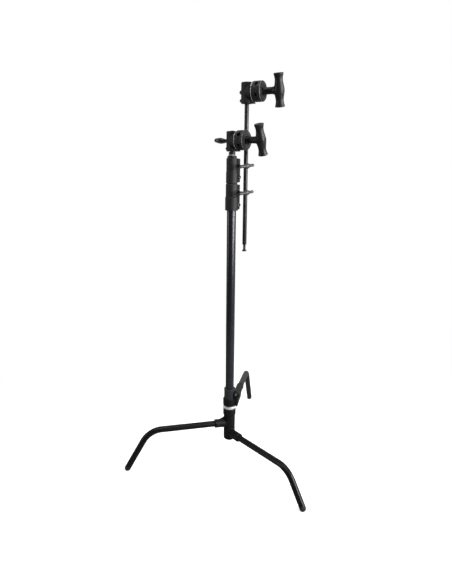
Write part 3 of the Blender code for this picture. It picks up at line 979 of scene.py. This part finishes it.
def clamp(which, body, grip_body, joint, middle, tube_r, riser_r, outers, fixing_z):
    """A split clamp between a tube and the riser in it: radius outers[0] below the height middle,
    outers[1] above, with its lug, wing handle, nut and fixing screw."""
    low, high = span(f"{which}_clamp_casting", 2)
    lower, upper = outers
    place = STAND @ heading(LUG)
    screw_z = joint_spot(joint).z
    screw_x = (joint_spot(joint) - STAND.translation).xy.length
    profile = [(riser_r - 3, low), (lower, low), (lower, middle), (upper, middle + 3)]
    profile += [(upper, high), (riser_r - 3, high)]
    if which == "lower":
        profile[-2:] = [(upper, high - NECK), (NECK_R, high - NECK), (NECK_R, high)]
        profile += [(riser_r - 3, high)]
        high -= NECK
    lug = plate(
        [
            (10, low + 3),
            (28.5, low + 3),
            (30.5, low + 5),
            (30.5, high - 3),
            (28.5, high - 1),
            (10, high - 1),
        ],
        12.0,
    )
    seat = lathe(
        [(0, -40), (8.4, -40), (8.4, -11.6), (4.35, -11.6), (4.35, 40), (0, 40)],
        48,
        along(TOWARD, (screw_x, 0, screw_z)),
    )
    bore = lathe(
        [(0, -40), (3.35, -40), (3.35, 11.6), (7.4, 11.6), (7.4, 40), (0, 40)],
        48,
        along(TOWARD, (24.0, 0, fixing_z)),
    )
    boss = rod(8.6, -12.3, 12.9, 48, along(TOWARD, (24.0, 0, fixing_z)), 1.0)
    pad = rod(8.4, -12.3, 12.5, 48, along(TOWARD, (screw_x, 0, screw_z)), 1.0)
    shape = cast(
        (lathe(profile, 72), lug, boss, pad),
        (
            rod(tube_r + CLAMP_GAP, low - 8, middle - 2, 72, None, CUT_EDGE),
            rod(riser_r + CLAMP_GAP, low - 8, high + 12, 72, None, CUT_EDGE),
            box((riser_r - 4, -1.3, low - 8), (45, 1.3, high + 12)),
            seat,
            bore,
        ),
    )
    piece(
        f"{which}_clamp",
        shape,
        BLACK_CAST,
        place,
        body,
        [f"{which}_clamp_casting"],
        smooth=True,
    )
    spot = place @ Matrix.Translation((screw_x, 0, screw_z)) @ along(TOWARD)
    piece(
        f"{which}_clamp_hex_nut",
        lathe(
            [
                (4.1, -19.0),
                (6.6, -19.0),
                (6.6, -18.6, hexed),
                (6.6, -12.9, hexed),
                (6.6, -12.4),
                (4.1, -12.4),
            ],
            72,
        ),
        DARK_STEEL,
        spot,
        body,
        [f"{which}_clamp_nut"],
        sharp=25,
    )
    piece(
        f"{which}_clamp_bolt",
        rod(4.0, -21.0, 57.5, 40),
        DARK_STEEL,
        spot,
        grip_body,
        [f"{which}_clamp_screw"],
    )
    wing(
        f"{which}_wing",
        spot @ heading(6.0) @ Matrix.Translation((0, 0, 56.0)),
        grip_body,
        f"{which}_wing_handle",
        -10.0,
        4.35,
    )
    piece(
        f"{which}_fixing_bolt",
        socket_screw(3.0, -15.0, 5.8, 18.2, 2.9, 12.4),
        SCREW_STEEL,
        place @ Matrix.Translation((24.0, 0, fixing_z)) @ along(TOWARD),
        body,
        [f"{which}_fixing_screw"],
    )


clamp(
    "lower", "column", "lower_clamp_handle", "lower_clamp_turn", 1100.0, COLUMN_R, RISER1_R,
    (24.4, 22.4), 1072.0,
)
clamp(
    "upper", "riser_1", "upper_clamp_handle", "upper_clamp_turn", 1190.0, RISER1_R, RISER2_R,
    (21.8, 20.8), 1174.0,
)

# ---------------------------------------------------------------- arm
low, high = span("arm_tube", 2)
piece(
    "arm_skin",
    tube(7.94, 5.9, low, high, 72, 0.7),
    DARK_STEEL,
    ARM,
    "grip_arm",
    ["arm_tube"],
)
low, high = span("arm_end_stop", 2)
stop = [(0, low), (7.6, low), (8.3, low + 0.8), (8.3, low + 4.6), (7.6, low + 5.4)]
stop += [(4.8, low + 5.4), (4.8, low + 25.6), (5.6, low + 25.6), (5.6, high), (0, high)]
piece(
    "arm_stop",
    lathe(soften(stop, 0.6), 56),
    DARK_STEEL,
    ARM,
    "grip_arm",
    ["arm_end_stop"],
)

# ---------------------------------------------------------------- grip heads
JAW_R, JAW_FACE, BAR_OUT = 34.8, 45.5, 121.0
# Angle about the head's axis, distance out and radius of the grooves for 16, 13 and 10 mm rods.
ROD_GROOVES = ((-90.0, 23.5, 8.45), (0.0, 18.5, 6.7), (180.0, 18.5, 5.1))


def groove_cutters(roll):
    made = []
    spin = heading(roll)
    for normal, out, radius in ROD_GROOVES:
        a = math.radians(normal)
        across = Vector((math.cos(a), math.sin(a), 0))
        side = Vector((-across.y, across.x, 0))
        middle = across * out + Vector((0, 0, JAW_FACE))
        made.append(rod(radius, -45, 45, 40, spin @ along(side, middle), CUT_EDGE))
    return made


def head(which, place, roll, tilt, bodies, locked):
    """A grip head along +Z of place: receiver, discs with rod grooves turned by roll, T-handle
    turned by tilt; locked adds the handle that holds it on the pin."""
    main, inner_body, outer_body, handle_body = bodies
    upright = Matrix.Rotation(math.radians(90), 4, "Y")
    block = [(0, -38.6), (19.8, -38.6), (21.3, -37.0), (21.3, 30.5), (19.8, 32.0), (0, 32.0)]
    boss = [(0, -4.0), (22, -4.0), (26.5, 14.0), (31.0, 20.0), (33.0, 22.0), (33.0, 26.6)]
    boss += [(0, 26.6)]
    back = [(0, -24.0), (7.4, -24.0), (8.4, -23.0), (8.4, -8.0), (0, -8.0)]
    low_boss = [(0, -23.6), (6.6, -23.6), (7.4, -22.8), (7.4, -8.0), (0, -8.0)]
    foot = [(-38.6, 0), (-38.6, 29.0), (-37.2, 29.6), (-35.7, 28.0), (-34.2, 26.0)]
    foot += [(-22.0, 25.0), (-22.0, 0)]
    low_place = Matrix.Translation((-28.0, 0, 0))
    shape = cast(
        (
            lathe(block, 64, upright),
            lathe(boss, 72),
            lathe(back, 40),
            lathe(low_boss, 40, low_place),
            plate(foot, 13.0),
        ),
        (
            rod(8.5, -60, 60, 48, upright, CUT_EDGE),
            rod(6.5, 9.0, 40.0, 40, None, CUT_EDGE),
            rod(4.4, -40, -5, 32, None, CUT_EDGE),
            rod(3.4, -40, -5, 32, low_place, CUT_EDGE),
        ),
    )
    piece(
        f"{which}_receiver",
        shape,
        BLACK_CAST,
        place,
        main,
        [f"{which}_head_body"],
        smooth=True,
    )
    piece(
        f"{which}_pin_screw",
        lathe(
            soften(
                [(0, -9.4), (3.1, -9.4), (3.1, -23.9), (4.2, -23.9), (4.2, -26.6), (2.1, -26.6)],
                0.4,
            )[:-1]
            + [(2.1, -26.6), (1.9, -26.2, hexed), (1.9, -24.4, hexed), (0, -23.8)],
            40,
        ),
        DARK_STEEL,
        place @ low_place,
        main,
        [f"{which}_set_screw"],
    )
    if locked:
        piece(
            "lower_lock_bolt",
            rod(4.0, -53.4, -9.0, 40),
            DARK_STEEL,
            place,
            "lock_handle",
            ["lower_lock_screw"],
        )
        flip = Matrix.Rotation(math.radians(180), 4, "X") @ heading(90.0)
        wing(
            "lock_wing",
            place @ flip @ Matrix.Translation((0, 0, 51.0)),
            "lock_handle",
            "lower_lock_handle",
            -17.0,
            4.35,
            OVAL,
        )
    else:
        stub = [(0, -9.4), (4.0, -9.4), (4.0, -24.3), (5.6, -24.3), (5.6, -26.6), (4.4, -27.8)]
        stub = soften(stub + [(2.6, -27.8)], 0.4)[:-1]
        stub += [(2.6, -27.8), (2.4, -27.4, hexed), (2.4, -25.4, hexed), (0, -24.8)]
        piece(
            "upper_arm_screw",
            lathe(stub, 40),
            DARK_STEEL,
            place,
            main,
            ["upper_end_screw"],
        )
    piece(
        f"{which}_bolt",
        rod(6.15, 9.4, 118.0, 40, None, 0.9),
        DARK_STEEL,
        place,
        main,
        [f"{which}_head_bolt"],
    )
    piece(
        f"{which}_washer",
        tube(34.6, 7.0, 26.95, 28.9, 96, 0.35),
        ZINC,
        place,
        inner_body,
        [f"{which}_friction_washer"],
    )
    inner = [(6.8, 29.2), (JAW_R, 29.2), (JAW_R, 45.0), (9.8, 45.0), (9.8, 38.0), (6.8, 38.0)]
    piece(
        f"{which}_disc_inner",
        worked(lathe(soften(inner, 0.7), 128), groove_cutters(roll)),
        BLACK_DISC,
        place,
        inner_body,
        [f"{which}_inner_jaw"],
    )
    outer = [(6.8, 46.0), (JAW_R, 46.0), (JAW_R, 60.5), (31.4, 64.0), (19.5, 64.0)]
    outer += [(18.4, 62.0), (15.6, 62.0), (14.8, 63.0), (6.8, 63.0)]
    piece(
        f"{which}_disc_outer",
        worked(lathe(soften(outer, 0.7), 128), groove_cutters(roll)),
        BLACK_DISC,
        place,
        outer_body,
        [f"{which}_outer_jaw"],
    )
    piece(
        f"{which}_thrust_ring",
        tube(11.4, 6.6, 63.4, 65.0, 56, 0.3),
        DARK_STEEL,
        place,
        outer_body,
        [f"{which}_thrust_washer"],
    )
    neck = [(0, 65.4), (14.2, 65.4), (14.0, 67.0), (12.4, 70.0), (12.0, 76.0), (12.0, 94.0)]
    neck += [(12.8, 100.0), (15.0, 107.0), (15.0, 115.0), (0, 115.0)]
    half = [(0, 55.0), (14.6, 55.0), (16.9, 54.2), (17.5, 52.6), (17.0, 50.6), (15.3, 45.0)]
    half += [(14.2, 39.0), (13.9, 33.0), (14.5, 26.0), (16.2, 17.0), (18.0, 8.0), (18.7, 0.0)]
    bar = [(r, -z) for r, z in half] + half[::-1][1:]
    tilt = math.radians(tilt)
    across = Vector((math.cos(tilt), math.sin(tilt), 0))
    shape = cast(
        (lathe(bar, 64, along(across, (0, 0, BAR_OUT))), lathe(neck, 64)),
        (rod(6.5, 60, 119, 40, None, CUT_EDGE), rod(5.4, 136.0, 160, 32, None, CUT_EDGE)),
        0.75,
        14,
        1.0,
        1.0,
    )
    piece(
        f"{which}_handle",
        shape,
        BLACK_PLASTIC,
        place,
        handle_body,
        [f"{which}_t_handle"],
        smooth=True,
    )


head(
    "lower", LOWER_HEAD, 0.0, 19.0,
    ("lower_head", "lower_jaws", "lower_outer_jaw", "lower_t_handle"), True,
)
head(
    "upper", UPPER_HEAD, -8.0, 14.0,
    ("grip_arm", "upper_jaws", "upper_outer_jaw", "upper_t_handle"), False,
)

# ---------------------------------------------------------------- CAD nodes that stay
KEPT = {
    "sliding_leg_bush": NYLON,
    "riser_1_guide": NYLON,
    "riser_2_guide": NYLON,
    "lower_jaw_spring": DARK_STEEL,
    "upper_jaw_spring": DARK_STEEL,
}
for node, look in KEPT.items():
    mesh = frame["nodes"][node].data
    mesh.materials.clear()
    mesh.materials.append(look)

# ---------------------------------------------------------------- floor, light, camera
FLOOR_R = 1.5
white = Graph("floor_white")
place = white.node("ShaderNodeTexCoord").outputs["Object"]
mottled = blended(
    white, noise(white, place, 3.0), (0.80, 0.80, 0.80), (0.84, 0.84, 0.84)
)
out_there = white.node(
    "ShaderNodeVectorMath", {0: place}, operation="LENGTH"
).outputs["Value"]
glow = ranged(white, out_there, 0.35 * FLOOR_R, FLOOR_R, 0.0, 1.0)
seen = white.node("ShaderNodeLightPath").outputs["Is Camera Ray"]
shown = blended(white, glow, mottled, (0.0, 0.0, 0.0))
white.feed("Base Color", blended(white, seen, (0.22, 0.22, 0.22), shown))
strength = white.node(
    "ShaderNodeMath",
    {
        0: ranged(white, glow, 0.0, 1.0, 0.62, 1.0),
        1: ranged(white, seen, 0.0, 1.0, 0.12, 1.0),
    },
    operation="MULTIPLY",
).outputs[0]
white.feed("Emission Strength", strength)
white.set(Roughness=0.9, Specular_IOR_Level=0.0)
white.shader.inputs["Emission Color"].default_value = (1, 1, 1, 1)
shape = bmesh.new()
bmesh.ops.create_circle(shape, cap_ends=True, segments=96, radius=FLOOR_R)
mesh = bpy.data.meshes.new("studio_floor")
shape.to_mesh(mesh)
shape.free()
mesh.materials.append(white.made)
floor = bpy.data.objects.new("studio_floor", mesh)
bpy.context.scene.collection.objects.link(floor)
floor.location = (0, 0, -0.0005)

CENTRE = Vector((*joint_spot("left_leg_swivel").xy * MM, 0.8))
VIEW_TURN = 26.0  # the camera stands this far round from the stand's front


def softbox(name, turn, distance, height, size, power, aim=0.8, tint=(1, 1, 1)):
    """An area light at a turn from the camera's direction, to the right when positive."""
    a = math.radians(VIEW_TURN + turn)
    lamp = bpy.data.lights.new(name, "AREA")
    lamp.shape = "RECTANGLE"
    lamp.size, lamp.size_y = size
    lamp.energy = power
    lamp.color = tint
    made = bpy.data.objects.new(name, lamp)
    bpy.context.scene.collection.objects.link(made)
    made.location = (
        CENTRE.x + distance * math.sin(a),
        CENTRE.y - distance * math.cos(a),
        height,
    )
    look = Vector((CENTRE.x, CENTRE.y, aim)) - made.location
    made.rotation_mode = "QUATERNION"
    made.rotation_quaternion = look.to_track_quat("-Z", "Y")
    return made


softbox("key_box", 53.0, 2.6, 1.45, (0.8, 1.6), 84.0, 1.25, (1.0, 0.985, 1.0))
softbox("side_box", 82.0, 2.6, 1.7, (0.9, 1.5), 62.0, 1.35)
softbox("left_box", -80.0, 3.0, 1.4, (0.9, 2.0), 20.0)
softbox("top_box", -20.0, 0.7, 3.6, (2.4, 2.4), 45.0, 0.0)

# The camera sees white in every direction; what lights the stand is dim, and brighter behind it.
world = bpy.data.worlds.new("studio")
bpy.context.scene.world = world
world.use_nodes = True
tree = world.node_tree
tree.nodes.clear()


def sky(kind, **values):
    made = tree.nodes.new(kind)
    for key, value in values.items():
        made.inputs[key.replace("_", " ")].default_value = value
    return made


out = sky("ShaderNodeOutputWorld")
mixer = sky("ShaderNodeMixShader")
path = sky("ShaderNodeLightPath")
towards = sky("ShaderNodeVectorMath")
towards.operation = "DOT_PRODUCT"
a = math.radians(VIEW_TURN)
towards.inputs[1].default_value = (-math.sin(a), math.cos(a), 0.0)
reach = sky("ShaderNodeMapRange", From_Min=-0.2, From_Max=0.9, To_Min=0.035, To_Max=0.5)
dim = sky("ShaderNodeBackground", Color=(1, 1, 1, 1))
lit = sky("ShaderNodeBackground", Color=(1, 1, 1, 1), Strength=1.0)
coords = sky("ShaderNodeTexCoord")
tree.links.new(coords.outputs["Generated"], towards.inputs[0])
tree.links.new(towards.outputs["Value"], reach.inputs["Value"])
tree.links.new(reach.outputs["Result"], dim.inputs["Strength"])
tree.links.new(path.outputs["Is Camera Ray"], mixer.inputs[0])
tree.links.new(dim.outputs[0], mixer.inputs[1])
tree.links.new(lit.outputs[0], mixer.inputs[2])
tree.links.new(mixer.outputs[0], out.inputs["Surface"])
bpy.context.scene.view_settings.view_transform = "Standard"

# The camera was fitted to the picture's own viewpoint: lens in mm, angles in degrees, metres.
LENS, PAN, PITCH, ROLL = 28.97, -0.585, 15.136, 0.449
VIEW_DISTANCE, VIEW_HEIGHT = 1.8, 1.218
lens = bpy.data.cameras.new("camera")
lens.sensor_width = 36.0
lens.sensor_fit = "AUTO"
lens.lens = LENS
lens.clip_start = 0.05
lens.clip_end = 100.0
camera = bpy.data.objects.new("camera", lens)
bpy.context.scene.collection.objects.link(camera)
turn, pan, pitch, roll = (math.radians(v) for v in (VIEW_TURN, PAN, PITCH, ROLL))
forward = Vector(
    (
        math.sin(pan - turn) * math.cos(pitch),
        math.cos(pan - turn) * math.cos(pitch),
        -math.sin(pitch),
    )
)
right = forward.cross(UP).normalized()
above = right.cross(forward)
right, above = (
    right * math.cos(roll) + above * math.sin(roll),
    above * math.cos(roll) - right * math.sin(roll),
)
stand_off = VIEW_DISTANCE * Vector((math.sin(turn), -math.cos(turn)))
camera.matrix_world = turned(
    right, above, -forward, (CENTRE.x + stand_off.x, CENTRE.y + stand_off.y, VIEW_HEIGHT)
)
bpy.context.scene.camera = camera
